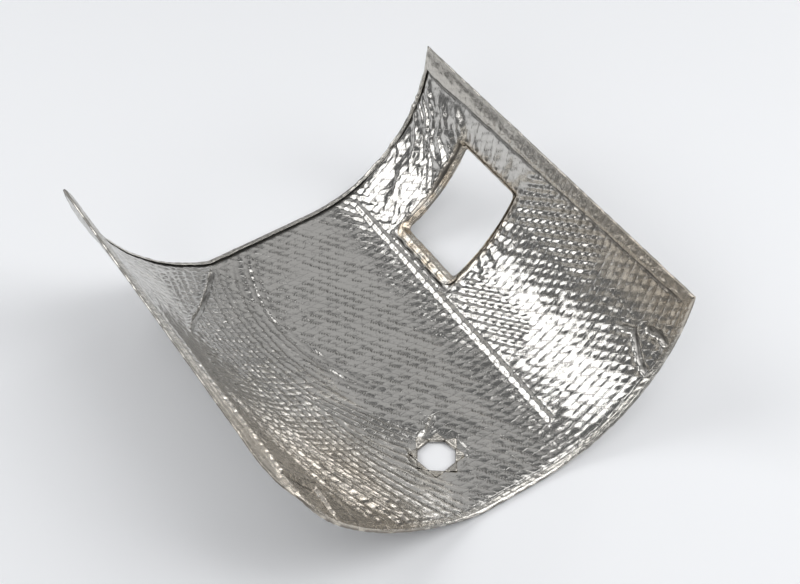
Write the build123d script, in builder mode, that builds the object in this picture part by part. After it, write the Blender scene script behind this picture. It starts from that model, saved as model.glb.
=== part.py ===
from build123d import *
import os
from collections import namedtuple
from math import asin, cos, radians, sin, tan

# Heat shield for an exhaust manifold, in millimetres.
#
# Two thin stainless foils hold a fibre mat between them, and the three are pressed together into
# a trough. X runs across the trough, Y along it and Z up. The origin is under the middle of the
# trough's flat floor, on the face that rests on a surface. The shield opens upwards: the manifold
# lies in the trough, so the concave face is the hot side.
#
# The outer foil is the larger blank. Its margins turn over all the edges of the other two layers
# and lie on the concave face as hems, as they do round the window and the stud hole.

# The three layers, from the convex face to the concave one.
foil = 0.3
mat_thickness = 3.4
edge_gap = 0.7                      # from the fold of the outer foil to the edges inside it

# The trough: the two ends are cut square to Y, and straight lines join them.
length = 330.0
lip_radius = 3.0                    # the left edge turns outwards over this radius
lip_width = 8.0                     # flat part of that lip
corner_radius = 34.0                # rounded corner of the left wall at the near end
resting_cut = 0.03                  # taken off the pressed floor, so that it rests on a true plane

# One end of the trough, as the arcs of its convex face. Turns are in degrees.
End = namedtuple("End", "y floor_left floor_right knee_radius knee_turn wall_radius wall_turn"
                        " lip_turn right_radius right_turn")
near = End(y=-length / 2, floor_left=-14.0, floor_right=29.5, knee_radius=64.0, knee_turn=17.0,
           wall_radius=218.0, wall_turn=42.0, lip_turn=40.0, right_radius=137.0, right_turn=77.5)
far = End(y=length / 2, floor_left=-47.0, floor_right=45.2, knee_radius=14.0, knee_turn=22.0,
          wall_radius=167.8, wall_turn=57.5, lip_turn=4.0, right_radius=122.8, right_turn=88.0)
right_arc = near.right_radius * radians(near.right_turn)

# The window for the exhaust port, in the right wall, and the stud hole in the floor.
window_y = 60.5                     # middle of the window along the trough
window_share = 0.52                 # share of the right arc that lies below its middle
window_length = 67.0                # along the trough
window_height = 82.0                # up the wall
window_corner = 4.0
window_hem = 3.5
window_flap = 10.0                  # the hem on the window's lower side is wider
hole_x = -16.8
hole_y = -104.6
hole_across_flats = 28.7
hole_sides = 8
hole_turned = 34.0                  # degrees from X to the first corner
petal_length = 6.5
petal_tip = 3.2                     # width of the petal's blunt end

# The hems along the edges, and the bead that stiffens the concave face.
end_hem = 4.5
left_hem = 7.0
right_hem_near = 8.0
right_hem_far = 18.0
bead_below_flap = 7.5               # from the window's flap down to the middle of the bead
bead_radius = 2.6
bead_rise = 1.3
bead_near_y = -132.0
bead_far_y = 148.0

# The bead keeps clear of the window's flap, so its place on the right arc follows from the window.
far_right_arc = far.right_radius * radians(far.right_turn)
window_part = (window_y - near.y) / length
window_arc = right_arc + (far_right_arc - right_arc) * window_part
window_radius = near.right_radius + (far.right_radius - near.right_radius) * window_part
flap_arc = window_radius * asin((window_height / 2 + window_flap) / window_radius)
bead_share = window_share - (flap_arc + bead_below_flap) / window_arc  # the part of the right arc below it

# Depths are measured inwards from the convex face.
mat_face = foil
inner_foil_face = mat_face + mat_thickness
concave_face = inner_foil_face + foil
hem_face = concave_face + foil
reach = 1000.0                      # longer than the shield, for cutting tools

# How far a layer is set back from the left, right and end edges of the shield.
Margins = namedtuple("Margins", "left right ends")
whole = Margins(0, 0, 0)
inside_fold = Margins(foil, foil, foil)
inside_gap = Margins(foil + edge_gap, foil + edge_gap, foil + edge_gap)
inside_hems = Margins(left_hem, right_hem_near, end_hem)


def face_line(end, depth, left_margin, right_margin):
    """Draw the sheet at one end, as it lies at a depth, and return its two ends."""
    right_turn = end.right_turn * (1 - right_margin / right_arc)
    height = depth - resting_cut
    floor = Line((end.floor_left, height), (end.floor_right, height))
    right = JernArc(floor @ 1, (1, 0), end.right_radius - depth, right_turn)
    knee = JernArc(floor @ 0, (-1, 0), end.knee_radius - depth, -end.knee_turn)
    wall = JernArc(knee @ 1, knee % 1, end.wall_radius - depth, -end.wall_turn)
    lip = JernArc(wall @ 1, wall % 1, lip_radius + depth, end.lip_turn)
    flat = Line(lip @ 1, lip @ 1 + (lip % 1) * (lip_width - left_margin))
    return flat @ 1, right @ 1


with BuildLine() as near_face:
    face_line(near, concave_face, 0, 0)
wall_top = near_face.line.bounding_box().max.Y


def layer(low, high, margins):
    """Fill the space between two depths, set back from the edges by the margins."""
    with BuildPart() as sheet:
        for end in (near, far):
            with BuildSketch(Plane.XZ.offset(-end.y)):
                with BuildLine():
                    left_low, right_low = face_line(end, low, margins.left, margins.right)
                    left_high, right_high = face_line(end, high, margins.left, margins.right)
                    Line(left_low, left_high)
                    Line(right_low, right_high)
                make_face()
        loft(ruled=True)
        Box(reach, length - 2 * margins.ends, reach, mode=Mode.INTERSECT)
        with BuildSketch(Plane.YZ):
            with Locations((near.y, wall_top)):
                Rectangle(2 * corner_radius, 2 * corner_radius)
            with Locations((near.y + corner_radius, wall_top - corner_radius)):
                Circle(corner_radius - margins.ends, mode=Mode.SUBTRACT)
        extrude(amount=-reach, mode=Mode.SUBTRACT)
    return sheet.part


def right_wall(y, share, depth):
    """Find the point of the right wall at a place along the trough and a share of its arc."""
    points = []
    for end in (near, far):
        turn = radians(share * end.right_turn)
        radius = end.right_radius - depth
        points.append(Vector(end.floor_right + radius * sin(turn), end.y,
                             end.right_radius - radius * cos(turn) - resting_cut))
    return points[0] + (points[1] - points[0]) * ((y - near.y) / length)


def window(low_side, other_sides):
    """The window's space, with its lower side and its other sides moved outwards."""
    middle = right_wall(window_y, window_share, 0)
    inwards = right_wall(window_y, window_share, hem_face) - middle
    wall = Plane(origin=middle, x_dir=(inwards.Z, 0, -inwards.X), z_dir=inwards)
    height = window_height + low_side + other_sides
    with BuildPart() as space:
        with BuildSketch(wall):
            with Locations(((other_sides - low_side) / 2, 0)):
                RectangleRounded(height, window_length + 2 * other_sides, window_corner)
        extrude(amount=window_height / 2, both=True)
    return space.part


def stud_hole(outwards, petals=False):
    """The stud hole's space, with its flats moved outwards, and with the petals round it."""
    apothem = hole_across_flats / 2 + outwards
    half_side = apothem * tan(radians(180 / hole_sides))
    petal = [(0, -half_side), (petal_length, -petal_tip / 2), (petal_length, petal_tip / 2), (0, half_side)]
    with BuildPart() as space:
        with BuildSketch(Plane.XY):
            with Locations(Location((hole_x, hole_y, 0), (0, 0, hole_turned))):
                RegularPolygon(apothem, hole_sides, major_radius=False)
                if petals:
                    with PolarLocations(apothem, hole_sides, start_angle=180 / hole_sides):
                        Polygon(*petal, align=None)
        extrude(amount=hole_across_flats, both=True)
    return space.part


with BuildPart() as insulation_mat:
    add(layer(mat_face, inner_foil_face, inside_gap))
    add(window(foil + edge_gap, foil + edge_gap), mode=Mode.SUBTRACT)
    add(stud_hole(foil + edge_gap), mode=Mode.SUBTRACT)
insulation_mat.part.label = "insulation_mat"

# The bead is a half-round rib, pressed up out of the inner foil along a straight line of the wall.
with BuildPart() as bead:
    for end in (near, far):
        middle = right_wall(end.y, bead_share, concave_face + bead_rise - bead_radius)
        with BuildSketch(Plane.XZ.offset(-end.y)):
            with Locations((middle.X, middle.Z)):
                Circle(bead_radius)
    loft(ruled=True)
    with Locations((0, (bead_near_y + bead_far_y) / 2, 0)):
        Box(reach, bead_far_y - bead_near_y, reach, mode=Mode.INTERSECT)

with BuildPart() as inner_foil:
    add(bead)
    add(layer(0, inner_foil_face, whole), mode=Mode.SUBTRACT)
    add(layer(inner_foil_face, concave_face, inside_gap))
    add(window(foil + edge_gap, foil + edge_gap), mode=Mode.SUBTRACT)
    add(stud_hole(foil + edge_gap), mode=Mode.SUBTRACT)
inner_foil.part.label = "inner_foil"

# The space that the mat and the inner foil lie in, and the space that the hems leave open.
with BuildPart() as pocket:
    add(layer(mat_face, concave_face, inside_fold))
    add(window(foil, foil), mode=Mode.SUBTRACT)
    add(stud_hole(foil), mode=Mode.SUBTRACT)

hem_edge_near = right_wall(near.y, 1 - right_hem_near / right_arc, concave_face).Z
hem_edge_far = right_wall(far.y, 1 - right_hem_far / right_arc, concave_face).Z
with BuildPart() as open_face:
    add(layer(concave_face, hem_face, inside_hems))
    with BuildSketch(Plane.YZ):
        Polygon((near.y, hem_edge_near), (near.y, reach), (far.y, reach), (far.y, hem_edge_far), align=None)
    extrude(amount=reach, mode=Mode.SUBTRACT)
    add(window(window_flap, window_hem), mode=Mode.SUBTRACT)
    add(stud_hole(foil, petals=True), mode=Mode.SUBTRACT)

with BuildPart() as outer_foil:
    add(layer(0, hem_face, whole))
    add(pocket, mode=Mode.SUBTRACT)
    add(open_face, mode=Mode.SUBTRACT)
    add(window(0, 0), mode=Mode.SUBTRACT)
    add(stud_hole(0), mode=Mode.SUBTRACT)
    Box(reach, reach, reach, align=(Align.CENTER, Align.CENTER, Align.MIN), mode=Mode.INTERSECT)
outer_foil.part.label = "outer_foil"

os.makedirs("parts", exist_ok=True)
export_step(outer_foil.part, "parts/outer_foil.step")
export_step(insulation_mat.part, "parts/insulation_mat.step")
export_step(inner_foil.part, "parts/inner_foil.step")
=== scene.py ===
# %% [markdown]
# # A foil heat shield, pressed around a fibre mat
# A heat shield for an exhaust manifold is a sandwich: two sheets of embossed stainless foil with a
# fibre mat between them, pressed together into a trough. This lesson makes the sheets much as a
# factory would. Each one starts as a flat blank, is cut while it is flat, and is then pressed onto
# the shape of the trough.

# %% Load the frame
import math
from functools import partialmethod

import bmesh
import bpy
import numpy as np
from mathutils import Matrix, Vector


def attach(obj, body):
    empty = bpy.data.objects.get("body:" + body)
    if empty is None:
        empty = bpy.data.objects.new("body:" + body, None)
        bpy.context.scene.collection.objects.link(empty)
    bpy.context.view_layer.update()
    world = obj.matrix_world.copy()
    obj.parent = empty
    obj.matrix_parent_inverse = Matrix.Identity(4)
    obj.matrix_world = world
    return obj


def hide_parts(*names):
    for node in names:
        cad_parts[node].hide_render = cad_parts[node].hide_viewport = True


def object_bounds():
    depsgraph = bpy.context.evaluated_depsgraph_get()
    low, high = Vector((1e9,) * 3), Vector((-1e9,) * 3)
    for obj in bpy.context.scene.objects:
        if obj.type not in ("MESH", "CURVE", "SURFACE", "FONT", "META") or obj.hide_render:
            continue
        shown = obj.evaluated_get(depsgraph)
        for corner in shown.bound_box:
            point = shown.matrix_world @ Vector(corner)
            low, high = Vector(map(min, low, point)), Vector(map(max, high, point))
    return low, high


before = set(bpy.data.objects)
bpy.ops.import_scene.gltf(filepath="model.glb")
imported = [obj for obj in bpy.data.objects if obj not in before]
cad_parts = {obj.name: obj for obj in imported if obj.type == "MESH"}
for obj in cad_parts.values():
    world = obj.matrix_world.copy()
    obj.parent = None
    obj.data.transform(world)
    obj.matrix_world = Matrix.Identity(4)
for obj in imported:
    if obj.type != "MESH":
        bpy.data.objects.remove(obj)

MM = 0.001
cad_low, cad_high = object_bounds()
print("CAD box", [round(v / MM, 1) for v in (*cad_low, *cad_high)])


def add_object(name, data):
    """Put a mesh, a light or a camera in the scene."""
    made = bpy.data.objects.new(name, data)
    bpy.context.scene.collection.objects.link(made)
    return made


def add_mesh(name, bm):
    """Turn a bmesh into an object."""
    mesh = bpy.data.meshes.new(name)
    bm.to_mesh(mesh)
    bm.free()
    return add_object(name, mesh)


# %% [markdown]
# ## The trough
# The trough is square cut at both ends, and each end is a chain of arcs. Straight lines join the
# two ends, so any place on the sheet can be found from how far along the chain it is and how far
# along the trough it is. Sizes are in millimetres here, and finished places are turned to metres.

# %% The arcs of the two ends
HALF_LENGTH = (cad_high.y - cad_low.y) / 2 / MM
LIP_WIDTH = 8.0
LIP_FROM = 46.0  # from the near end to where the lip is turned out in full
STRETCHES = ("flat", "lip", "wall", "knee", "floor", "right")
FLOOR = STRETCHES.index("floor")
# Each stretch of an end is its radius and its turn in degrees. The floor has its two ends instead.
NEAR = {"lip": (3.0, -40.0), "wall": (218.0, 42.0), "knee": (64.0, 17.0), "floor": (-14.0, 29.5),
        "right": (137.0, 77.5)}
FAR = {"lip": (3.0, -4.0), "wall": (167.8, 57.5), "knee": (14.0, 22.0), "floor": (-47.0, 45.2),
       "right": (122.8, 88.0)}
SHALLOW_LIP = (3.0, -8.0)  # the lip in the rounded corner of the left wall


def walk(x, z, heading, length, turn):
    """Go along an arc, or along a straight stretch where the turn is zero."""
    chord = length * np.sinc(turn / 2 / np.pi)
    return x + chord * np.cos(heading + turn / 2), z + chord * np.sin(heading + turn / 2)


def measure_end(end):
    """Length, turn, start point and heading of each stretch, from the left edge to the right one."""
    floor_left, floor_right = end["floor"]
    lengths, turns = [LIP_WIDTH], [0.0]
    for name in STRETCHES[1:]:
        radius, turn = end[name]
        straight = name == "floor"
        lengths.append(floor_right - floor_left if straight else radius * math.radians(abs(turn)))
        turns.append(0.0 if straight else math.radians(turn))
    heading, x, z, starts = -sum(turns[:FLOOR]), 0.0, 0.0, []
    for length, turn in zip(lengths, turns):
        starts.append((x, z, heading))
        x, z = walk(x, z, heading, length, turn)
        heading += turn
    starts = np.array(starts)
    starts[:, :2] += (floor_left, 0.0) - starts[FLOOR, :2]
    return np.array(lengths), np.array(turns), starts


NEAR_END, FAR_END = measure_end(NEAR), measure_end(FAR)
CORNER_END = measure_end({**NEAR, "lip": SHALLOW_LIP})
for name, near_length, far_length in zip(STRETCHES, NEAR_END[0], FAR_END[0]):
    print(f"{name:6s} {near_length:6.1f} mm at the near end, {far_length:6.1f} mm at the far end")


# %% [markdown]
# ## From the flat blank to the trough
# A place on the blank has three numbers. The first is how far across it lies from the line where
# the floor meets the right wall, the second is how far along it lies, and the third is how deep it
# is between the convex face and the concave one. One function bends every piece, so they all fit.

# %% Bend places on the blank onto the trough
def share_along(along):
    """Zero at the near end of the trough and one at the far end."""
    return (np.asarray(along, float) + HALF_LENGTH) / (2 * HALF_LENGTH)


def left_edge(along):
    """How far across the blank its left edge lies. It is negative."""
    near, far = NEAR_END[0][:FLOOR + 1].sum(), FAR_END[0][:FLOOR + 1].sum()
    return -(near + (far - near) * share_along(along))


def right_edge(along):
    """How far across the blank its right edge lies."""
    near, far = NEAR_END[0][-1], FAR_END[0][-1]
    return near + (far - near) * share_along(along)


LEFT_NEAR, RIGHT_NEAR = float(left_edge(-HALF_LENGTH)), float(right_edge(-HALF_LENGTH))
LEFT_FAR, RIGHT_FAR = float(left_edge(HALF_LENGTH)), float(right_edge(HALF_LENGTH))


def bend(across, along, depth):
    """The places in the trough, in millimetres, of places on the flat blank."""
    arrays = np.broadcast_arrays(across, along, depth)
    across, along, depth = (np.ravel(values).astype(float) for values in arrays)
    share = share_along(along)
    lengths = NEAR_END[0][:, None] * (1 - share) + FAR_END[0][:, None] * share
    ends = np.cumsum(lengths, axis=0) - lengths[:FLOOR + 1].sum(axis=0)
    index = (across >= ends[:-1]).sum(axis=0)
    column = np.arange(len(across))
    length = lengths[index, column]
    part = (across - ends[index, column]) / length + 1
    inside = np.clip(part, 0, 1)
    places = []
    for end_lengths, turns, starts in (NEAR_END, CORNER_END, FAR_END):
        x, z, heading = starts[index].T
        turn = turns[index] * inside
        x, z = walk(x, z, heading, end_lengths[index] * inside, turn)
        heading = heading + turn
        reach = (part - inside) * length
        places.append(np.array([x + reach * np.cos(heading) - depth * np.sin(heading),
                                z + reach * np.sin(heading) + depth * np.cos(heading)]))
    in_corner = np.interp(along, (-HALF_LENGTH, LIP_FROM - HALF_LENGTH), (1, 0))
    near_place = places[0] * (1 - in_corner) + places[1] * in_corner
    x, z = near_place * (1 - share) + places[2] * share
    return x, along, z


probe = bend([float(left_edge(0)), 0.0, float(right_edge(0))], 0.0, 0.0)
print("left edge, floor and right edge in the middle:", np.round(np.transpose(probe), 1).tolist())

# %% [markdown]
# ## The camera
# The camera looks down into the trough from its near left. It stands well back with a long lens,
# which keeps the straight edges nearly parallel.

# %% Camera
CAMERA_PLACE = (-0.5097, -0.8312, 1.0368)
CAMERA_TURN = (45.293, 1.493, -34.217)  # degrees about X, Y and Z
camera = add_object("camera", bpy.data.cameras.new("camera"))
camera.location = CAMERA_PLACE
camera.rotation_euler = [math.radians(a) for a in CAMERA_TURN]
camera.data.lens = 85.13
camera.data.sensor_width = 36
bpy.context.scene.camera = camera
print(f"the camera stands {camera.location.length:.2f} m from the origin")

# %% [markdown]
# ## The lights
# Polished foil is a mirror full of dents, so it shows its lights more than its own colour. The key
# stands beyond the far left corner and shines along the right wall. Five more soft boxes put broad
# highlights on the pillows, and a dim pale world fills what is left.

# %% Lights
# Each soft box: its place, what it faces, its size in metres and the brightness of its face.
LIGHTS = {
    "key": ((-0.62, 0.84, 1.07), (0.08, 0, 0.05), (1.1, 1.0), 2.5),
    "back": ((1.05, 0.95, 0.95), (0, 0, 0.05), (1.7, 1.6), 0.39),
    "strip": ((1.45, 0.55, 0.42), (0, 0, 0.05), (0.35, 0.9), 2.6),
    "top": ((0.3, -0.35, 1.8), (0, 0, 0), (0.9, 0.9), 2.2),
    "right": ((0.9, -1.0, 1.2), (0.1, 0, 0), (1.1, 1.1), 3.6),
    "front": ((-1.3, -1.1, 1.4), (0, 0, 0), (1.0, 1.0), 2.4),
}


def soft_box(name, place, target, size, brightness):
    """A panel of light that faces a target, with the brightness of its face."""
    light = add_object(name, bpy.data.lights.new(name, "AREA"))
    light.data.shape = "RECTANGLE"
    light.data.size, light.data.size_y = size
    light.data.energy = brightness * math.pi * size[0] * size[1]
    light.location = place
    direction = Vector(target) - Vector(place)
    light.rotation_euler = direction.to_track_quat("-Z", "Y").to_euler()
    print(f"{name}: {light.data.energy:.2f} W")


for name, settings in LIGHTS.items():
    soft_box(name, *settings)
world = bpy.data.worlds.new("studio")
world.use_nodes = True
background = world.node_tree.nodes["Background"]
background.inputs["Color"].default_value = (0.95, 0.97, 1.0, 1)
background.inputs["Strength"].default_value = 0.17
bpy.context.scene.world = world
bpy.context.scene.view_settings.view_transform = "Standard"


# %% [markdown]
# ## Writing materials
# A material is a small graph of nodes. The class below wraps one socket, so that arithmetic on
# values adds Math nodes, and any other node comes from the same method.

# %% The socket class
class Value:
    """A socket that can be added, multiplied and so on."""

    def __init__(self, tree, socket):
        self.tree, self.socket = tree, socket

    def node(self, kind, settings=(), out=0, **inputs):
        """Add a node with settings and sockets, which go by name, or by number after an underscore."""
        made = self.tree.nodes.new(kind)
        for key, value in dict(settings).items():
            setattr(made, key, value)
        for key, value in inputs.items():
            name = int(key[1:]) if key[0] == "_" else key.replace("_", " ")
            if isinstance(value, Value):
                self.tree.links.new(value.socket, made.inputs[name])
            else:
                made.inputs[name].default_value = value
        return Value(self.tree, made.outputs[out])

    def math(self, operation, *others):
        inputs = {f"_{i}": other for i, other in enumerate((self, *others))}
        return self.node("ShaderNodeMath", {"operation": operation}, **inputs)

    __add__ = __radd__ = partialmethod(math, "ADD")
    __mul__ = partialmethod(math, "MULTIPLY")
    __sub__ = partialmethod(math, "SUBTRACT")

    def __rsub__(self, other):
        return self * -1.0 + other

    def clamp(self, low=0.0, high=1.0):
        return self.math("MAXIMUM", low).math("MINIMUM", high)

    def ramp(self, low, high):
        """Zero below low, one above high, and smooth between."""
        settings = {"interpolation_type": "SMOOTHSTEP"}
        return self.node("ShaderNodeMapRange", settings, Value=self, From_Min=low, From_Max=high)

    def blend(self, first, second):
        """Mix two colours by this value."""
        mixed = self.node("ShaderNodeMix", {"data_type": "RGBA"}, out=2, Factor=self)
        made = mixed.socket.node
        for place, colour in ((6, first), (7, second)):
            if isinstance(colour, Value):
                self.tree.links.new(colour.socket, made.inputs[place])
            else:
                made.inputs[place].default_value = (*colour, 1)
        return mixed


# %% [markdown]
# ## The embossing
# The foil is rolled between two patterned cylinders before it is cut, which leaves rows of small
# pillows laid like bricks. The valleys between them let the foil bend round corners. They are real
# grooves here, because the edges of the pillows catch the light. The long valleys follow lines of
# the mesh, and the short ones run aslant between them. On the floor the pillows are nearly flat.

# %% The brick pattern, in millimetres of blank
COURSE = 6.6        # from one long valley to the next
BRICK = 7.8         # from one short valley to the next
VALLEY_WIDTH = 0.95
SHORT_WIDTH = 1.25
SLANT = 0.85        # how far across a short valley leans for each step along
VALLEY_DEPTH = 0.36
PILLOW_LEAN = 1.3
PILLOW_RISE = 0.30
LATTICE_SIZE = 64


def step(value, low, high):
    """Zero below low and one above high, smooth between. Low may be the larger."""
    t = np.clip((value - low) / (high - low), 0, 1)
    return t * t * (3 - 2 * t)


def to_nearest(value, period):
    """Distance to the nearest whole number of periods."""
    return np.abs(value - np.round(value / period) * period)


rng = np.random.default_rng(7)
LATTICE = rng.random((LATTICE_SIZE, LATTICE_SIZE))


def cell_value(column, row, kind):
    """A random value from 0 to 1 for each brick."""
    row = (row.astype(int) * 3 + kind * 11) % LATTICE_SIZE
    column = (column.astype(int) * 5 + kind * 17) % LATTICE_SIZE
    return LATTICE[row, column]


def lattice_place(across, along):
    """The brick's column and course at a place, and how far into it the place lies, in shares."""
    course = np.floor(along / COURSE)
    slanted = across + (course % 2) * BRICK / 2 + SLANT * (along - course * COURSE)
    column = np.floor(slanted / BRICK)
    return column, course, slanted / BRICK - column, along / COURSE - course


def valleys(across, along):
    """Depth of the valleys, about one in a full one, and where the floor flattens the pillows."""
    column, course, part, _ = lattice_place(across, along)
    on_floor = step(across, 22, 4) * step(across, -115, -80)
    long_valley = np.clip(1 - to_nearest(along, COURSE) / VALLEY_WIDTH, 0, 1)
    short_valley = np.clip(1 - to_nearest(part, 1) * BRICK / SHORT_WIDTH, 0, 1)
    long_depth = 0.15 + 0.85 * cell_value(np.round(across / BRICK * 2), np.round(along / COURSE), 0)
    short_depth = 0.25 + 1.2 * cell_value(column + np.round(part), course, 1)
    long_depth = long_depth * (1 - 0.8 * on_floor)
    return np.maximum(long_depth * long_valley, short_depth * short_valley), on_floor


def embossing(across, along):
    """Height of the pattern: zero on an even pillow and below zero in the valleys."""
    column, course, part, rise = lattice_place(across, along)
    valley, on_floor = valleys(across, along)
    u, v = part - 0.5, rise - 0.5
    lean = (cell_value(column, course, 2) - 0.5) * u + (cell_value(column, course, 3) - 0.5) * v
    dome = (0.3 + cell_value(column, course, 4)) * (1 - 4 * u * u) * (1 - 4 * v * v)
    pillow = PILLOW_LEAN * lean * (1 - np.minimum(valley, 1))
    pillow = pillow + PILLOW_RISE * (1 + 0.8 * step(across, 80, 120)) * dome
    return (1 - 0.75 * on_floor) * pillow - VALLEY_DEPTH * valley * (1 + 0.35 * on_floor)


probe = embossing(*np.meshgrid(np.linspace(60, 120, 200), np.linspace(-60, 60, 200)))
print(f"the pattern stands from {probe.min():.2f} to {probe.max():.2f} mm on the right wall")


# %% [markdown]
# ## Wrinkles
# Foil that is pressed over a double curve has to go somewhere, so it gathers. There are long
# wrinkles that fan out over the left wall, sharp creases at the near right, small waves beside the
# window and crumpled foil beyond it. All of them are functions of the place on the blank, which
# give a height, so the same ones can press the mesh, and the creases also paint shade into the colour.

# %% Random bumps, folds and lines
def bumps(across, along, size, seed=0):
    """Smooth random values from 0 to 1, with bumps of about a size."""
    u, v = across / size + seed * 7.3, along / size + seed * 3.1
    column, row = np.floor(u).astype(int), np.floor(v).astype(int)
    s, t = step(u - column, 0, 1), step(v - row, 0, 1)

    def corner(i, j):
        return LATTICE[(row + j) % LATTICE_SIZE, (column + i) % LATTICE_SIZE]

    low = corner(0, 0) * (1 - s) + corner(1, 0) * s
    high = corner(0, 1) * (1 - s) + corner(1, 1) * s
    return low * (1 - t) + high * t


def folds(across, along, size, seed=0):
    """Sharp ridges, one along each ridge and zero far from it, as in crumpled foil."""
    return 1 - np.abs(2 * bumps(across, along, size, seed) - 1)


def along_line(across, along, points):
    """Distance from a line through points, signed by its side, and the share of the line passed."""
    best = np.full(np.shape(across), np.inf)
    side, share = np.zeros_like(best), np.zeros_like(best)
    spans = list(zip(points[:-1], points[1:]))
    for number, ((ax, ay), (bx, by)) in enumerate(spans):
        dx, dy = bx - ax, by - ay
        length = math.hypot(dx, dy)
        t = np.clip(((across - ax) * dx + (along - ay) * dy) / length ** 2, 0, 1)
        gap = np.hypot(across - ax - t * dx, along - ay - t * dy)
        nearer = gap < best
        turn = np.sign((across - ax) * dy - (along - ay) * dx)
        best, side = np.where(nearer, gap, best), np.where(nearer, turn, side)
        share = np.where(nearer, (number + t) / len(spans), share)
    return best * side, share


def curve_between(start, middle, end, count=9):
    """Points on a smooth curve that leaves the start towards the middle and ends at the end."""
    start, middle, end = np.array(start), np.array(middle), np.array(end)
    return [tuple((1 - t) ** 2 * start + 2 * t * (1 - t) * middle + t ** 2 * end)
            for t in np.linspace(0, 1, count)]


# %% [markdown]
# ## The long creases
# The five sharp creases are listed: one down from the left edge, one by the rounded corner,
# two at the near right and one near the stud hole. The fans are loops, with uneven steps.

# %% The creases: points (across, along), width and depth
CREASES = [
    ([(-97, 154), (-118, 126), (-147, 92), (-170, 70), (-188, 48)], 1.5, 2.2),
    ([(-156, -98), (-143, -118), (-130, -137), (-112, -161)], 1.8, 1.7),
    ([(139, -138), (143, -152), (140, -163)], 1.8, 1.8),
    ([(124, -118), (131, -132), (117, -150), (112, -163)], 1.7, 1.3),
    ([(-30, -72), (-44, -84), (-52, -92)], 1.6, 1.0),
]
# Along the left wall.
for number in range(15):
    start = (-150 + 6.6 * number, 160 - 3 * (number % 3))
    middle = (-196 + 6.6 * number, 70 - 16 * (number % 2))
    end = (-158 + 7.8 * number, -20 - 8 * (number % 3))
    CREASES.append((curve_between(start, middle, end), 1.2, 0.26 + 0.22 * (number % 2)))
# Over the knee, towards the near end.
for number in range(8):
    start = (-150 + 9 * number, 30 - 12 * number)
    end = (-88 + 5.0 * number, -160 + 9 * number)
    CREASES.append((curve_between(start, (-150 + 9 * number, -70), end), 1.5, 0.3 + 0.2 * (number % 2)))
# The near half of the left wall.
for number in range(6):
    start = (-225 + 11 * number, -20 - 13 * (number % 2))
    end = (-150 + 9 * number, -160 + 3 * number)
    CREASES.append((curve_between(start, (-205 + 11 * number, -90), end), 1.4, 0.5 + 0.4 * (number % 2)))
# Towards the stud hole.
for number in range(4):
    start = (-118 + 10 * number, -12 - 5 * number)
    end = (-68 + 6 * number, -84)
    CREASES.append((curve_between(start, (-98 + 9 * number, -45), end), 1.1, 0.8))
print(len(CREASES), "creases")


# %% [markdown]
# ## The openings on the blank
# The stud hole, the window and the left wall's rounded corner are cut from the flat blank, so their
# places are worked out there, from the sizes of the pressed part.

# %% Where the corner, the stud hole and the window lie
MIDDLE_DEPTH = 2.0   # half way between the convex face and the concave one
CORNER = 34.0        # radius of the rounded corner
HOLE_X, HOLE_Y, HOLE_FLATS, HOLE_TURN = -16.8, -104.6, 28.7, math.radians(34.0)
hole_across = HOLE_X - float(bend(0.0, HOLE_Y, 0.0)[0][0])
near_left_wall = np.linspace(LEFT_NEAR, -60, 400)
near_left_heights = bend(near_left_wall, -HALF_LENGTH, 4.0)[2]
corner_start = float(np.interp(CORNER - near_left_heights.max(), -near_left_heights, near_left_wall))


def corner_line(setback, count=10):
    """The rounded corner of the left wall at the near end, from the near edge to the left edge."""
    centre_along = CORNER - HALF_LENGTH
    reach = corner_start - float(left_edge(centre_along))
    turns = np.radians(np.linspace(0, 90, count))
    return [(corner_start - (reach - setback) * math.sin(t), centre_along - (CORNER - setback) * math.cos(t))
            for t in turns]


WINDOW_ALONG = 60.5
WINDOW_LENGTH = 67.0
WINDOW_HEIGHT = 82.0
WINDOW_SHARE = 0.52  # the part of the right wall that lies below the window's middle
near_radius, far_radius = NEAR["right"][0], FAR["right"][0]
wall_radius = far_radius + (near_radius - far_radius) * (1 - float(share_along(WINDOW_ALONG)))
window_middle = WINDOW_SHARE * float(right_edge(WINDOW_ALONG))
window_half = wall_radius * math.asin(WINDOW_HEIGHT / 2 / wall_radius)
window_low, window_high = window_middle - window_half, window_middle + window_half
window_near, window_far = WINDOW_ALONG - WINDOW_LENGTH / 2, WINDOW_ALONG + WINDOW_LENGTH / 2
print("window, mm:", [round(v, 1) for v in (window_low, window_high, window_near, window_far)])


def from_window(across, along):
    """Distance outside the window's edges."""
    dx = np.maximum(np.abs(across - window_middle) - window_half, 0)
    dy = np.maximum(np.abs(along - WINDOW_ALONG) - WINDOW_LENGTH / 2, 0)
    return np.hypot(dx, dy)


# %% [markdown]
# ## The height of the foil
# Each kind of wrinkle keeps to its own part of the sheet, and one function adds them up. The press
# comes last. It pinches the edges, adds slow waves that the layers share, and bends the sheet.

# %% Wrinkles and the press
NOT_HERE = 99  # a distance that no fade and no pinch reaches


def crumpled(across, along):
    """One between the window and the far end, where the foil is crumpled."""
    patch = step(along, 95, 102) * step(across, 42, 64) * step(across, 168, 152)
    return patch * (0.55 + 0.45 * bumps(across, along, 22, 4))


def rippled(across, along):
    """One where small waves cross the right wall, beside and below the window."""
    below = step(across, 38, 50) * step(across, 88, 66) * step(along, -80, -50) * step(along, 26, 10)
    beside = step(across, 118, 136) * step(across, 178, 166)
    beside = beside * step(along, -88, -62) * step(along, 24, 12)
    floor = step(across, 18, 32) * step(across, 60, 46) * step(along, 95, 118) * 0.6
    return np.clip(below + beside + floor, 0, 1)


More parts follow.
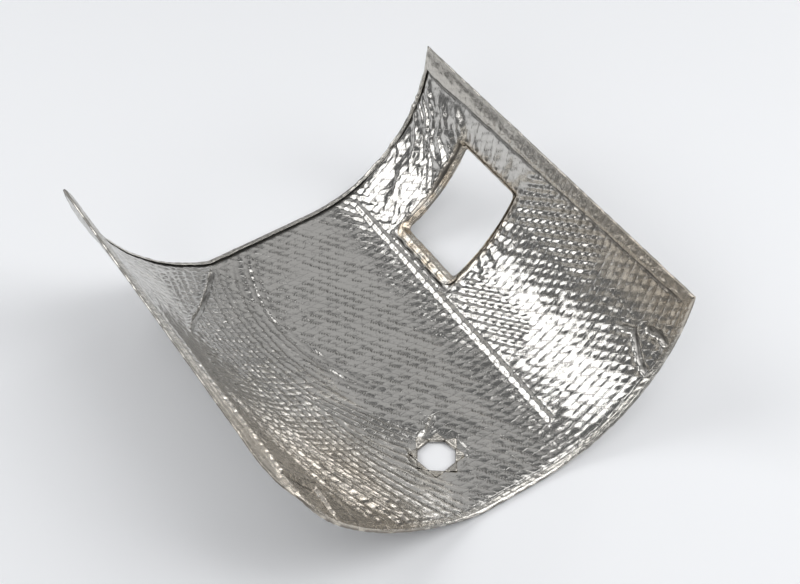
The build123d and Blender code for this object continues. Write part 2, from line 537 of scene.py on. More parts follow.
def crease_height(across, along):
    """Height of the long creases, below zero in them and above zero along their shoulders."""
    total, darkest = np.zeros_like(across), np.zeros_like(across)
    for points, width, depth in CREASES:
        gap, share = along_line(across, along, points)
        fade = step(share, 0, 0.12) * step(share, 1, 0.88) + 0.15
        cut = np.exp(-(gap / width) ** 2)
        shoulder = np.exp(-((gap - 2.2 * width) / (1.6 * width)) ** 2)
        total += 1.3 * fade * depth * (0.6 * shoulder - cut)
        # Painted shade: the middle of each crease is marked for darkening in the colour.
        darkest = np.maximum(darkest, fade * cut * min(depth / 1.2, 1))
    return total, darkest


def foil_height(across, along):
    """Height of the wrinkles on one face of the foil, and how much shade is painted into the creases."""
    crease, dark = crease_height(across, along)
    warp = 16 * bumps(across, along, 24, 19)
    aside, onwards = 0.58 * across - 0.81 * along + warp, 0.81 * across + 0.58 * along - warp
    crumple = folds(aside, onwards * 0.3, 10, 1) * 3.0 + folds(aside, onwards * 0.35, 5.5, 2) * 1.9
    ripple = 0.8 * np.cos(2 * np.pi * (along / (2 * COURSE) + across / BRICK))
    window_gap = from_window(across, along)
    angle = np.arctan2(along - WINDOW_ALONG, across - window_middle)
    pulled = 0.5 * np.cos(26 * angle) * step(window_gap, 2, 8) * step(window_gap, 34, 12)
    uneven = 0.5 * bumps(across, along, 14, 5) + 0.3 * folds(across, along * 0.5, 11, 6) ** 3
    height = crease + crumpled(across, along) * crumple + rippled(across, along) * ripple
    return height + pulled * (1 - crumpled(across, along)) + uneven, dark


def sway(across, along):
    """Slow waves that all three layers share."""
    return 1.1 * bumps(across, along, 60, 8) + 0.7 * bumps(across, along, 27, 9)


def press(across, along, depth):
    """Bend places on the blank onto the pressed shield, which is pinched at its edges, and return metres."""
    corner = -along_line(across, along, corner_line(0))[0]
    beyond = (across < corner_start) & (along < CORNER - HALF_LENGTH)
    hole = np.hypot(across - hole_across, along - HOLE_Y) - HOLE_FLATS / 2
    # For each edge: the distance in from it, the share of the thickness left there, the pinch's reach.
    margins = [(across - left_edge(along), 0.4, 11), (right_edge(along) - across, 0.32, 11),
               (HALF_LENGTH - along, 0.75, 11), (HALF_LENGTH + along, 0.45, 11),
               (from_window(across, along), 0.45, 5), (hole, 0.6, 11),
               (np.where(beyond, corner, NOT_HERE), 0.5, 11)]
    shares = [left + (1 - left) * step(margin, 0, reach) for margin, left, reach in margins]
    pinch = np.minimum.reduce(shares)
    calm = np.minimum.reduce([step(margin, 0, 30) for margin, _, _ in margins])
    depth = MIDDLE_DEPTH + (depth - MIDDLE_DEPTH) * pinch + sway(across, along) * calm
    return np.column_stack(bend(across, along, depth)) * MM


# %% [markdown]
# ## Cutting a blank
# A sheet starts as a grid whose lines follow the long valleys of the pattern, and a coarser grid
# makes its other face. The outline, the window and the stud hole are cut through both while
# they are flat. Bridging the loops that are left closes the sheet, and only then is it pressed.

# %% Grids, cuts and bridges
SETBACK = 0.8        # from the shield's outline in to the cut edge of a layer
COARSE_STEP = 5.5    # between the lines of the coarse face
LEAST_STEP = 0.4     # between a pattern line and a wanted one
BRICK_LINES = (0, 1 / 6, 2 / 6, 3 / 6, 4 / 6, 5 / 6)
COURSE_LINES = (0, 0.14, 0.38, 0.62, 0.86)
OCTAGON_NORMALS = HOLE_TURN + math.pi / 8 + np.arange(8) * math.pi / 4


def pattern_lines(low, high, period, phases, wanted):
    """Line positions on the pattern, with the wanted ones added and lines too near them dropped."""
    wanted = sorted([low, high, *wanted])
    cells = range(math.floor(low / period), math.ceil(high / period) + 1)
    lines = [(cell + phase) * period for cell in cells for phase in phases]
    kept = [v for v in lines if low < v < high and min(abs(v - w) for w in wanted) > LEAST_STEP]
    return np.array(sorted(kept + wanted))


def add_face(bm, across_lines, along_lines, height):
    """Add a flat grid whose lines lie at given places."""
    columns, rows = len(across_lines) - 1, len(along_lines) - 1
    grid = bmesh.ops.create_grid(bm, x_segments=columns, y_segments=rows, size=1)
    for vertex in grid["verts"]:
        column = round((vertex.co.x + 1) / 2 * columns)
        row = round((vertex.co.y + 1) / 2 * rows)
        vertex.co = (across_lines[column], along_lines[row], height)


def cut(bm, point, outwards, faces=None, clear=True):
    """Slice along an upright plane, and throw away what lies outside it."""
    faces = faces or bm.faces
    geometry = list(dict.fromkeys(item for face in faces for item in (*face.verts, *face.edges, face)))
    bmesh.ops.bisect_plane(bm, geom=geometry, dist=1e-4, plane_co=(*point, 0), plane_no=(*outwards, 0),
                           clear_outer=clear)


def octagon(apothem):
    """Corners of the stud hole on the blank."""
    radius = apothem / math.cos(math.pi / 8)
    angles = HOLE_TURN + np.arange(8) * math.pi / 4
    return [(hole_across + radius * math.cos(a), HOLE_Y + radius * math.sin(a)) for a in angles]


def cut_blank(across_fine, along_fine, fine_height, coarse_height, setback=SETBACK):
    """A closed flat sheet with a fine face and a coarse one, cut to the shield's outline."""
    bm = bmesh.new()
    add_face(bm, across_fine, along_fine, fine_height)
    sides = (window_low - setback, window_high + setback, window_near - setback, window_far + setback)
    across_coarse = pattern_lines(across_fine[0], across_fine[-1], COARSE_STEP, (0,), sides[:2])
    along_coarse = pattern_lines(along_fine[0], along_fine[-1], COARSE_STEP, (0,), sides[2:])
    add_face(bm, across_coarse, along_coarse, coarse_height)
    for middle, near, far, side in ((left_edge(0), LEFT_NEAR, LEFT_FAR, -1),
                                    (right_edge(0), RIGHT_NEAR, RIGHT_FAR, 1)):
        cut(bm, (float(middle) - side * setback, 0), (side, -side * (far - near) / (2 * HALF_LENGTH)))
    corner = corner_line(setback)
    for (ax, ay), (bx, by) in zip(corner[:-1], corner[1:]):
        cut(bm, (ax, ay), (ay - by, bx - ax))
    hole = octagon(HOLE_FLATS / 2 + setback)
    centre = np.array((hole_across, HOLE_Y))
    for a, b in zip(hole, hole[1:] + hole[:1]):
        near_hole = [f for f in bm.faces if math.dist(f.calc_center_median().xy, centre) < HOLE_FLATS]
        cut(bm, a, (b[1] - a[1], a[0] - b[0]), near_hole, clear=False)
    normals = np.array([(math.cos(k), math.sin(k)) for k in OCTAGON_NORMALS])
    inside = []
    for face in bm.faces:
        x, y = face.calc_center_median().xy
        in_window = sides[0] < x < sides[1] and sides[2] < y < sides[3]
        reached = (np.array((x, y)) - centre) @ normals.T
        if in_window or reached.max() < HOLE_FLATS / 2 + setback:
            inside.append(face)
    bmesh.ops.delete(bm, geom=inside, context="FACES")
    bridge_rims(bm, centre)
    bmesh.ops.recalc_face_normals(bm, faces=bm.faces)
    return bm


def bridge_rims(bm, hole_centre):
    """Close the sheet along its outline, round its window and round its stud hole."""
    rims = {"outline": [], "window": [], "hole": []}
    for edge in [e for e in bm.edges if e.is_boundary]:
        middle = (edge.verts[0].co + edge.verts[1].co) / 2
        if math.dist(middle.xy, hole_centre) < HOLE_FLATS:
            rims["hole"].append(edge)
        elif float(from_window(middle.x, middle.y)) < 3:
            rims["window"].append(edge)
        else:
            rims["outline"].append(edge)
    for name, edges in rims.items():
        made = bmesh.ops.bridge_loops(bm, edges=edges)
        print(f"  bridged the {name} with {len(made['faces'])} faces")


def blank_places(bm):
    """How far across and along each vertex lies, and its depth."""
    bm.verts.index_update()
    return np.array([v.co[:] for v in bm.verts]).T


# %% [markdown]
# ## What the hems and the heat do to the foil
# Under a hem the pattern is pressed flat, and along its free edge the foil is pressed into a shallow
# groove and its shadow is painted dark. In places the steel has turned to straw colour. Each of these is a
# mask from zero to one over the blank.

# %% Masks
LEFT_HEM, END_HEM, WINDOW_HEM, WINDOW_FLAP = 7.0, 4.5, 3.5, 10.0
RIGHT_HEM_NEAR, RIGHT_HEM_FAR = 8.0, 18.0


def heat_tint(across, along):
    """How much the heat has turned the steel to straw colour."""
    near_right = step(across, 90, 180) * (0.2 + 0.4 * step(along, 60, -140))
    window = step(from_window(across, along), 14, 1) * 0.75
    near_left = step(across, -60, -130) * step(along, 40, -110) * 0.55
    return np.maximum.reduce([near_right, window, near_left])


def from_right_hem(across, along):
    """Distance in from the free edge of the right hem, which widens towards the far end."""
    width = RIGHT_HEM_NEAR + (RIGHT_HEM_FAR - RIGHT_HEM_NEAR) * share_along(along)
    return right_edge(along) - across - width


def flattened(across, along):
    """One under the hems, where the foil is pressed flat, and zero a little way in from them."""
    left = step(across - left_edge(along), LEFT_HEM + 1.5, LEFT_HEM)
    right = step(from_right_hem(across, along), 2.5, 0)
    ends = step(HALF_LENGTH - np.abs(along), END_HEM + 1.5, END_HEM)
    window = step(from_window(across, along), WINDOW_HEM, 1.5)
    flap_edge = window_low - WINDOW_FLAP
    in_flap = step(across, flap_edge - 1.5, flap_edge) * step(across, window_middle, window_low)
    flap = in_flap * step(np.abs(along - WINDOW_ALONG), WINDOW_LENGTH / 2 + 8, WINDOW_LENGTH / 2 + 4)
    hole = step(np.hypot(across - hole_across, along - HOLE_Y), 24, 20)
    corner = step(np.abs(along_line(across, along, corner_line(0))[0]), 7, 5)
    return np.clip(np.maximum.reduce([left, right, ends, window, flap, hole, corner]), 0, 1)


def smoothed(across, along):
    """One on the strip between the window and the right hem, where the pattern is nearly pressed out."""
    return step(across, 141, 152) * step(along, -25, 20) * step(along, 165, 140)


def hem_gap(across, along):
    """One along the free edges of the hems, where a shallow groove is pressed and a shadow is painted dark.
    """
    right = from_right_hem(across, along)
    far = HALF_LENGTH - along - END_HEM
    beside = (across > window_low - 4) & (across < window_high)
    window = np.where(beside, along - window_far - WINDOW_HEM, NOT_HERE)
    in_flap = np.abs(along - WINDOW_ALONG) < WINDOW_LENGTH / 2 + 7
    flap = np.where(in_flap, across - window_low + WINDOW_FLAP, -NOT_HERE)
    gaps = [(right, 1.5), (far, 0.8), (window, 0.8), (-flap, 0.8)]
    gapes = 0.5 + 0.5 * step(bumps(across, along, 24, 15), 0.25, 0.6)
    inside = step(across - left_edge(along), 0, 12) * step(right_edge(along) - across, 0, 6)
    inside = inside * step(along, -164, -150)
    lines = [np.exp(-((gap - shift) / 1.3) ** 2) for gap, shift in gaps]
    return np.clip(1.5 * np.maximum.reduce(lines) * gapes * inside, 0, 1)


# %% [markdown]
# ## From a mesh of the blank to a finished piece
# The flat places stay on the mesh as its UV map, so a pattern in a material can follow the sheet.
# A colour attribute carries three masks: where heat has tinted the metal, where shade is painted
# into the creases, the valleys and the hems, and where the foil is pressed flat under a hem.

# %% Press a sheet and keep its places as a map
def finish_piece(bm, name, places, marks):
    """Put pressed places and the maps on a mesh, and make it an object."""
    flat = [(v.co.x, v.co.y) for v in bm.verts]
    layer = bm.loops.layers.uv.new("blank")
    for face in bm.faces:
        face.smooth = True
        for loop in face.loops:
            x, y = flat[loop.vert.index]
            loop[layer].uv = (x * MM + 0.5, y * MM + 0.5)
    for vertex, place in zip(bm.verts, places):
        vertex.co = place
    piece = add_mesh(name, bm)
    colours = piece.data.color_attributes.new("marks", "FLOAT_COLOR", "POINT")
    colours.data.foreach_set("color", np.column_stack([marks, np.ones(len(marks))]).ravel())
    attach(piece, "root")
    triangles = sum(len(p.vertices) - 2 for p in piece.data.polygons)
    print(f"{name}: {triangles} triangles")
    return piece


# %% [markdown]
# ## The inner foil
# This is the hot side, which faces up out of the trough, so its fine face is the upper one. A bead,
# which is a narrow rib, stiffens it below the window. Shade is painted dark into its valleys, creases and hem
# gaps.

# %% Inner foil
INNER_DEPTH = 4.0
SHEET = 0.7          # thickness of a foil's mesh, which leaves room for its pattern
BEAD_SHARE = 0.2004  # the part of the right wall that lies below the bead
BEAD_RISE, BEAD_HALF_WIDTH = 1.5, 2.5
BEAD_NEAR, BEAD_FAR = -132.0, 148.0
wide = (LEFT_FAR, RIGHT_FAR)
across_lines = pattern_lines(*wide, BRICK, BRICK_LINES, (window_low - SETBACK, window_high + SETBACK))
along_lines = pattern_lines(-HALF_LENGTH + SETBACK, HALF_LENGTH - SETBACK, COURSE, COURSE_LINES,
                            (window_near - SETBACK, window_far + SETBACK))
bm = cut_blank(across_lines, along_lines, INNER_DEPTH, INNER_DEPTH - SHEET)
across, along, depth = blank_places(bm)
fine = depth > INNER_DEPTH - SHEET / 2
flat_mask = flattened(across, along)
height, dark = foil_height(across, along)
bead_gap = np.abs(across - BEAD_SHARE * right_edge(along))
on_bead = step(along, BEAD_NEAR, BEAD_NEAR + 3) * step(along, BEAD_FAR, BEAD_FAR - 3)
bead = on_bead * BEAD_RISE * np.sqrt(np.clip(1 - (bead_gap / BEAD_HALF_WIDTH) ** 2, 0, 1))
bead *= 1 - 0.45 * step(to_nearest(along, 2 * COURSE), 1.1, 0.2)
open_foil = 1 - flat_mask
near_bead = step(bead_gap, 4.5, 2.2) * on_bead
# The gap along each hem's free edge is pressed in, and its shadow is painted dark.
gap_line = hem_gap(across, along)
ironed = smoothed(across, along)
pattern = embossing(across, along) * (1 - 0.75 * np.maximum(ironed, crumpled(across, along)))
rise = open_foil * (height + pattern) * (1 - near_bead) + bead - 0.8 * gap_line
# The valleys of the pattern are painted dark as shade, most of all on the floor.
valley, on_floor = valleys(across, along)
in_valley = (0.7 + 0.3 * on_floor) * step(valley, 0.3, 1.0 - 0.25 * on_floor)
# Painted shade: the creases, the hem-gap shadows and the valleys are marked for darkening.
dark = np.maximum.reduce([dark * open_foil, gap_line, in_valley * open_foil])
pressed = press(across, along, depth + np.where(fine, rise, 0))
marks = np.column_stack([heat_tint(across, along), dark, np.maximum(flat_mask, 0.8 * ironed)])
inner = finish_piece(bm, "inner_foil_sheet", pressed, marks)
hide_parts("inner_foil")

# %% [markdown]
# ## The outer foil
# The outer foil is the cool side and lies under the mat. Its blank is the same, but the pattern
# stands out from the convex face, so its fine face is the lower one, with shallower wrinkles.

# %% Outer foil
OUTER_DEPTH = 0.0
bm = cut_blank(across_lines, along_lines, OUTER_DEPTH, OUTER_DEPTH + SHEET)
across, along, depth = blank_places(bm)
fine = depth < OUTER_DEPTH + SHEET / 2
flat_mask = flattened(across, along)
height, dark = foil_height(across + 3.1, along + 2.3)
on_floor = step(across, 12, -8) * step(across, -110, -60)
open_foil = 1 - flat_mask
pattern = embossing(across, along) * (1 - 0.5 * on_floor)
rise = open_foil * (0.6 * height * (1 - on_floor) + pattern)
pressed = press(across, along, depth - np.where(fine, rise, 0))
# The creases of the outer foil are painted dark as shade.
marks = np.column_stack([0.5 * heat_tint(across, along), dark * open_foil, flat_mask])
outer = finish_piece(bm, "outer_foil_skin", pressed, marks)
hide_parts("outer_foil")

# %% [markdown]
# ## The fibre mat
# The mat fills the shield between the foils and keeps the heat in. It is a soft sheet with a loose
# surface, so both of its faces get small random bumps. It would only show where a hem gapes.

# %% Fibre mat
MAT_LOW, MAT_HIGH = 0.8, 3.2
MAT_STEP = 4.0
mat_setback = SETBACK + 0.7
window_across = (window_low - mat_setback, window_high + mat_setback)
window_along = (window_near - mat_setback, window_far + mat_setback)
mat_across = pattern_lines(*wide, MAT_STEP, (0,), window_across)
mat_along = pattern_lines(-HALF_LENGTH + mat_setback, HALF_LENGTH - mat_setback, MAT_STEP, (0,), window_along)
bm = cut_blank(mat_across, mat_along, MAT_HIGH, MAT_LOW, mat_setback)
across, along, depth = blank_places(bm)
fuzz = 0.25 * (bumps(across, along, 4.5, 11) - 0.5)
pressed = press(across, along, depth + fuzz)
mat = finish_piece(bm, "fibre_mat", pressed, np.zeros((len(across), 3)))
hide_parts("insulation_mat")

# %% [markdown]
# ## Folding the hems
# The outer foil's margin turns over the edge of the sandwich and is pressed down on the hot side.
# Each hem is a strip of grid. One side of the strip starts inside the outer foil, so that no slit
# shows there, the middle goes round the edge and the other side lies on the inner foil. Its places
# are worked out on the blank like those of the sheets, so it is bent with them.

# %% The strip that every hem is made from
# Each station of the fold: how far in from the edge, the share of the hem's width, and the depth.
FOLD = [(2.4, 0, 0.35), (1.3, 0, -0.05), (0.3, 0, -0.05), (-0.2, 0, 0.6), (-0.3, 0, 1.5), (-0.3, 0, 2.6),
        (-0.1, 0, 3.7), (0.5, 0, 4.25)]
FOLD += [(0, share, 4.35) for share in np.linspace(0.14, 0.9, 9)] + [(0, 0.96, 4.4), (0, 1, 4.6)]
HEM_THICKNESS = 0.28


def strip(bm, edge, inner, wave, gather=0.0, roll=0.0):
    """Add a folded ring between two lines. The wave, the gather and the roll make it uneven."""
    edge, inner = np.array(edge), np.array(inner)
    count = len(edge) + 1
    passed = np.concatenate([[0], np.cumsum(np.linalg.norm(np.diff(edge, axis=0), axis=1))])
    grid = bmesh.ops.create_grid(bm, x_segments=count - 1, y_segments=len(FOLD) - 1, size=1)["verts"]
    column = np.array([round((v.co.x + 1) / 2 * (count - 1)) for v in grid]) % len(edge)
    row = np.array([round((v.co.y + 1) / 2 * (len(FOLD) - 1)) for v in grid])
    inset, share, depth = np.array(FOLD)[row].T
    reach = inner[column] - edge[column]
    width = np.linalg.norm(reach, axis=1)
    inwards = reach / width[:, None]
    travel = inset + share * width
    across, along = (edge[column] + inwards * travel[:, None]).T
    on_face = step(share, 0, 0.3)
    free = step(share, 0.8, 1.0)
    at_fold = (share == 0) * step(inset, 1, 0)
    ragged = 1.3 * (bumps(across, along, 8, 12) - 0.5) * free
    ragged = ragged + 0.7 * (bumps(across, along, 4, 16) - 0.5) * at_fold
    onwards = passed[column]
    streaks = folds(travel, onwards * 0.1, 3.2, 17) * 0.6 + folds(travel, onwards * 0.45, 5.0, 18) * 0.5
    lift = 0.15 + step(bumps(across, along, 24, 15), 0.25, 0.6)
    wrinkles = 0.8 * foil_height(across, along)[0] + 0.8 * embossing(across, along)
    depth = depth + on_face * (1 - 0.7 * free) * (streaks + wrinkles) + free * wave * 0.3 * lift
    gather = np.broadcast_to(gather, len(edge))[column]
    depth = depth + gather * np.maximum(on_face, 0.5 * at_fold) * (0.5 + 0.5 * np.cos(onwards * 0.9))
    depth = depth + roll * np.sin(np.pi * share) * step(width, 5, 9)
    place = np.column_stack([across, along]) + inwards * (wave * ragged)[:, None]
    for vertex, (x, y), z in zip(grid, place, depth):
        vertex.co = (x, y, z)
    return grid


def finish_hem(bm, name, tint):
    """Close the strip's seams, give it a wall, press it and make it a piece."""
    bmesh.ops.remove_doubles(bm, verts=bm.verts, dist=0.01)
    bmesh.ops.recalc_face_normals(bm, faces=bm.faces)
    across, along, depth = blank_places(bm)
    # Painted shade: the hem is darkened round its fold and in its creases.
    fold = step(depth, 4.2, 3.4) * step(bumps(across, along, 5, 20), 0.3, 0.6)
    dark = np.maximum(0.7 * fold, 0.8 * foil_height(across, along)[1])
    marks = np.column_stack([tint(across, along), dark, np.full(len(across), 0.35)])
    piece = finish_piece(bm, name, press(across, along, depth), marks)
    wall = piece.modifiers.new("wall", "SOLIDIFY")
    wall.thickness = HEM_THICKNESS * MM
    wall.offset = 0
    return piece


# %% [markdown]
# ## The hem round the outline
# The outline has four nearly straight sides and one rounded corner. At the sharp corners the hem is
# mitred, so its inner line runs to the point where the two hems meet.

# %% Edge hem
def side_points(start, end, inner_start, inner_end, count):
    """Points of one straight side and of the inner line of its hem."""
    shares = np.linspace(0, 1, count, endpoint=False)[:, None]
    start, end, inner_start, inner_end = (np.array(v, float) for v in (start, end, inner_start, inner_end))
    return start + (end - start) * shares, inner_start + (inner_end - inner_start) * shares


near_right = (RIGHT_NEAR, -HALF_LENGTH)
far_right = (RIGHT_FAR, HALF_LENGTH)
far_left = (LEFT_FAR, HALF_LENGTH)
CORNER_STATIONS = 45
corner = corner_line(0, CORNER_STATIONS)
corner_turns = np.radians(np.linspace(0, 90, CORNER_STATIONS))
corner_widths = np.linspace(END_HEM, LEFT_HEM, CORNER_STATIONS)
corner_inner = [(x + width * math.sin(turn), y + width * math.cos(turn))
                for (x, y), turn, width in zip(corner, corner_turns, corner_widths)]
inner_near_right = (near_right[0] - RIGHT_HEM_NEAR, near_right[1] + END_HEM)
inner_far_right = (far_right[0] - RIGHT_HEM_FAR, far_right[1] - END_HEM)
inner_far_left = (far_left[0] + LEFT_HEM, far_left[1] - END_HEM)
sides = [
    side_points(corner[-1], far_left, corner_inner[-1], inner_far_left, 240),
    side_points(far_left, far_right, inner_far_left, inner_far_right, 380),
    side_points(far_right, near_right, inner_far_right, inner_near_right, 270),
    side_points(near_right, corner[0], inner_near_right, corner_inner[0], 310),
    (np.array(corner[:-1]), np.array(corner_inner[:-1])),
]
edge_line = np.concatenate([edge for edge, _ in sides])
inner_line = np.concatenate([inner for _, inner in sides])
bm = bmesh.new()
in_corner = np.arange(len(edge_line)) > len(edge_line) - len(corner)
on_near_side = ~in_corner & (edge_line[:, 1] < 0.1 - HALF_LENGTH)
strip(bm, edge_line, inner_line, wave=1.0, gather=1.3 * in_corner + 0.35 * on_near_side)
edge_hem = finish_hem(bm, "edge_hem", lambda a, b: 0.15 + 0.7 * heat_tint(a, b))
print("hem round the outline:", len(edge_line), "stations")

# %% [markdown]
# ## The hem of the window
# The margin that is left inside the window is slit at its corners and folded back over the edge. Its
# lower side is a wider flap. This is taken to be the hottest place, so it is the most tinted.

# %% Window hem
WINDOW_CORNER = 4.0
WINDOW_RIM = 1.2        # what shows of the hem on the window's upper and near sides
CORNER_POINTS, SIDE_POINTS = 8, 50


def hem_width(angle):
    """Width of the window's hem where it faces an angle: the flap, the far side or the narrow rim."""
    low_side, far_side = max(-math.cos(angle), 0), max(math.sin(angle), 0)
    return WINDOW_RIM + (WINDOW_FLAP - WINDOW_RIM) * low_side + (WINDOW_HEM - WINDOW_RIM) * far_side


def rim_point(corner, angle):
    """A point of the window's rounded corner, and the hem's free edge beyond it."""
    centre = [side - math.copysign(WINDOW_CORNER, side - middle)
              for side, middle in zip(corner, (window_middle, WINDOW_ALONG))]
    out = np.array((math.cos(angle), math.sin(angle)))
    point = np.array(centre) + WINDOW_CORNER * out
    return point, point + hem_width(angle) * out


corners = [(window_high, window_far), (window_low, window_far), (window_low, window_near),
           (window_high, window_near)]
edge_points, inner_points = [], []
for number, corner in enumerate(corners):
    start = 90 * number
    angles = np.radians(np.linspace(start, start + 90, CORNER_POINTS))
    rounded = [rim_point(corner, angle) for angle in angles]
    first, first_inner = rounded[-1]
    last, last_inner = rim_point(corners[(number + 1) % 4], math.radians(start + 90))
    shares = np.linspace(0, 1, SIDE_POINTS)[1:-1]
    edge_points += [edge for edge, _ in rounded] + [first + (last - first) * share for share in shares]
    inner_points += [inner_point for _, inner_point in rounded]
    inner_points += [first_inner + (last_inner - first_inner) * share for share in shares]
bm = bmesh.new()
strip(bm, edge_points, inner_points, wave=0.8, gather=0.2, roll=1.0)
print("hem of the window:", len(edge_points), "stations")
window_hem = finish_hem(bm, "window_hem", lambda a, b: 0.15 + 0.75 * bumps(a, b, 7, 21))

# %% [markdown]
# ## The petals of the stud hole
# The hole for the stud is slit from its middle, and the eight petals are folded back through it, so
# they lie on the inner foil like a star.

# %% Stud petals
PETAL_LENGTH, PETAL_TIP = 6.5, 4.2
# Each station of the fold: how far out from the hole's flat, and the depth.
PETAL_FOLD = [(2.0, 0.3), (0.9, -0.1), (0.1, -0.1), (-0.2, 0.6), (-0.3, 2.0), (-0.2, 3.4), (0.4, 4.4),
              (1.2, 4.5), (2.6, 4.5), (4.2, 4.55), (5.6, 4.65), (6.5, 4.75)]
bm = bmesh.new()
half_side = HOLE_FLATS / 2 * math.tan(math.pi / 8)
for number, normal in enumerate(OCTAGON_NORMALS):
    grid = bmesh.ops.create_grid(bm, x_segments=6, y_segments=len(PETAL_FOLD) - 1, size=1)["verts"]
    length = 0.85 + 0.3 * rng.random()
    lean = 0.5 * (rng.random() - 0.5)
    lift = 0.9 * rng.random()
    out = np.array((math.cos(normal), math.sin(normal)))
    beside = np.array((-out[1], out[0]))
    for vertex in grid:
        travel, depth = PETAL_FOLD[round((vertex.co.y + 1) / 2 * (len(PETAL_FOLD) - 1))]
        on_face = max(travel - 0.4, 0) / (PETAL_LENGTH - 0.4) if depth > 4 else 0
        outside = max(travel, 0) if depth <= 1 else 0
        half = half_side + outside * math.tan(math.pi / 8) + (PETAL_TIP / 2 - half_side) * on_face
        rounding = 1 - 0.35 * on_face * vertex.co.x ** 2
        travel = travel * length * rounding if depth > 4 else travel
        place = np.array((hole_across, HOLE_Y)) + out * (HOLE_FLATS / 2 + travel)
        place = place + beside * (vertex.co.x * half + lean * on_face * 3)
        vertex.co = (*place, depth + lift * on_face)
petals = finish_hem(bm, "stud_petals", lambda a, b: np.full(len(a), 0.35))


# %% [markdown]
# ## Materials
# All the foil is one steel, seen in different states. The base is a warm grey metal. A brick pattern
# on the piece's own map, slanted as the mesh is, sharpens the pillows, and noise gives the crinkle.
# Heat turns it to straw colour, specks make it uneven, and painted shade darkens the creases,
# the valleys and the gaps along the hems.

# %% The steel foil
def new_material(name):
    """A material with its tree, its shader and a wrapped socket to start from."""
    material = bpy.data.materials.new(name)
    material.use_nodes = True
    shader = material.node_tree.nodes["Principled BSDF"]
    return material, shader, Value(material.node_tree, None)


STRAW = (0.60, 0.51, 0.40)
PAINTED_SHADE_COLOUR = (0.06, 0.055, 0.05)


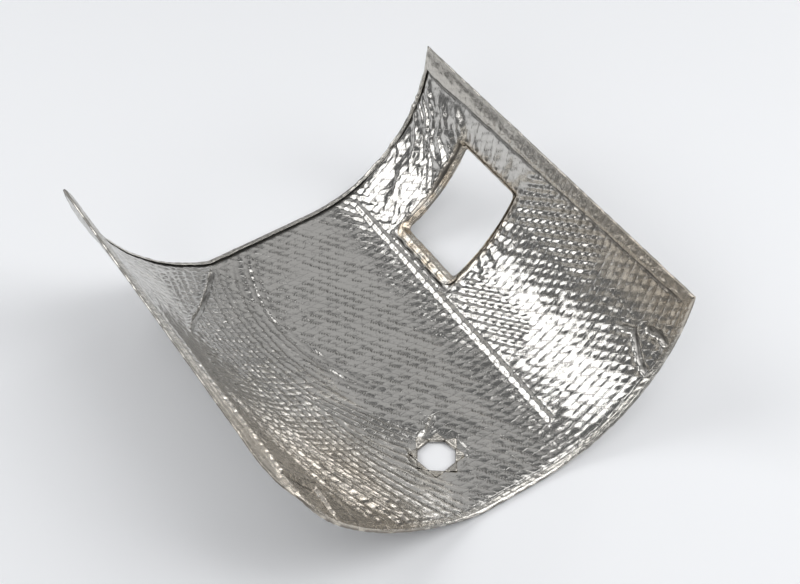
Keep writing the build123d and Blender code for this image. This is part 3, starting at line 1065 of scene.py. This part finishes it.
def foil_material(name, base, roughness, pattern, crinkle):
    """Embossed stainless foil. The pattern and the crinkle say how deep their bumps are."""
    material, shader, start = new_material(name)
    link = material.node_tree.links.new
    blank = start.node("ShaderNodeUVMap", {"uv_map": "blank"})
    across_along = blank.node("ShaderNodeMapping", Vector=blank, Location=(-500, -500, 0),
                              Scale=(1000, 1000, 1000))
    marks = start.node("ShaderNodeVertexColor", {"layer_name": "marks"})
    heat = marks.node("ShaderNodeSeparateColor", Color=marks)
    # The green mark is painted shade, from the creases, the valleys, the hem gaps and the hem folds.
    painted_shade = Value(material.node_tree, heat.socket.node.outputs["Green"])
    flat = Value(material.node_tree, heat.socket.node.outputs["Blue"])
    place = start.node("ShaderNodeTexCoord", out="Object")
    across = across_along.node("ShaderNodeSeparateXYZ", Vector=across_along)
    along = across_along.node("ShaderNodeSeparateXYZ", out="Y", Vector=across_along)
    slanted = across + along.math("FLOORED_MODULO", COURSE) * SLANT + BRICK / 2
    slanted = slanted.node("ShaderNodeCombineXYZ", X=slanted, Y=along)
    brick = place.node("ShaderNodeTexBrick", {"offset": 0.5, "squash": 1.0}, out="Fac", Vector=slanted,
                       Scale=1.0, Mortar_Size=0.45, Mortar_Smooth=1.0, Brick_Width=BRICK, Row_Height=COURSE)
    fine = place.node("ShaderNodeTexNoise", Vector=place, Scale=900.0, Detail=3.0, Roughness=0.6)
    broad = place.node("ShaderNodeTexNoise", Vector=place, Scale=240.0, Detail=4.0, Roughness=0.65,
                       Distortion=0.8)
    cloud = place.node("ShaderNodeTexNoise", Vector=place, Scale=22.0, Detail=5.0, Roughness=0.6)
    straw = (heat * (0.55 + cloud * 0.9)).clamp()
    colour = straw.ramp(0.15, 0.95).blend(base, STRAW)
    worn = cloud.ramp(0.42, 0.68) * 0.35
    colour = worn.blend(colour, tuple(c * 0.86 for c in base))
    speck = place.node("ShaderNodeTexNoise", Vector=place, Scale=330.0, Detail=3.0, Roughness=0.7)
    colour = (speck.ramp(0.58, 0.68) * 0.45).blend(colour, tuple(c * 0.45 for c in base))
    # Painted shade: the marked places are darkened towards near-black.
    colour = (painted_shade * 0.85).clamp().blend(colour, PAINTED_SHADE_COLOUR)
    link(colour.socket, shader.inputs["Base Color"])
    shader.inputs["Metallic"].default_value = 1.0
    rough = roughness + (broad - 0.5) * 0.12 + painted_shade * 0.35 + flat * 0.05
    link(rough.clamp(0.08, 0.9).socket, shader.inputs["Roughness"])
    height = (1 - brick) * (1 - flat) * pattern + broad * crinkle + fine * (crinkle * 0.35)
    bump = height.node("ShaderNodeBump", Height=height, Distance=0.001, Strength=1.0)
    link(bump.socket, shader.inputs["Normal"])
    print(f"{name}: {len(material.node_tree.nodes)} nodes")
    return material


steel = (0.62, 0.605, 0.575)
inner.data.materials.append(foil_material("inner_foil_steel", steel, 0.13, 0.06, 0.18))
outer.data.materials.append(foil_material("outer_foil_steel", (0.61, 0.60, 0.575), 0.18, 0.16, 0.30))
hem_steel = foil_material("hem_foil_steel", (0.58, 0.56, 0.52), 0.2, 0.10, 0.34)
for piece in (edge_hem, window_hem, petals):
    piece.data.materials.append(hem_steel)


# %% [markdown]
# ## The mat's material
# Mineral fibre is dull and off-white. Stretched noise gives the threads and a larger one the clumps.

# %% The fibre
material, shader, start = new_material("mineral_fibre")
place = start.node("ShaderNodeTexCoord", out="Object")
threads = place.node("ShaderNodeMapping", Vector=place, Scale=(1, 6, 3))
thread = place.node("ShaderNodeTexNoise", Vector=threads, Scale=500.0, Detail=4.0, Roughness=0.7)
clump = place.node("ShaderNodeTexNoise", Vector=place, Scale=90.0, Detail=3.0)
colour = (thread * 0.6 + clump * 0.4).ramp(0.3, 0.7).blend((0.50, 0.47, 0.41), (0.78, 0.76, 0.70))
material.node_tree.links.new(colour.socket, shader.inputs["Base Color"])
bump = thread.node("ShaderNodeBump", Height=thread * 0.6 + clump, Distance=0.001, Strength=0.8)
material.node_tree.links.new(bump.socket, shader.inputs["Normal"])
shader.inputs["Roughness"].default_value = 0.95
shader.inputs["Sheen Weight"].default_value = 0.3
mat.data.materials.append(material)

# %% [markdown]
# ## The floor
# A plain pale floor fills the camera's view. It lies a hair below the shield, so that the two never
# share a plane.

# %% Floor
FLOOR_REACH = 4
FLOOR_GAP = 0.0006
bm = bmesh.new()
bmesh.ops.create_grid(bm, x_segments=1, y_segments=1, size=FLOOR_REACH)
floor = add_mesh("floor", bm)
floor.location.z = cad_low.z - FLOOR_GAP
material, shader, start = new_material("pale_floor")
shader.inputs["Base Color"].default_value = (0.90, 0.91, 0.93, 1)
shader.inputs["Roughness"].default_value = 0.6
floor.data.materials.append(material)
print("the floor lies at", round(floor.location.z / MM, 2), "mm")
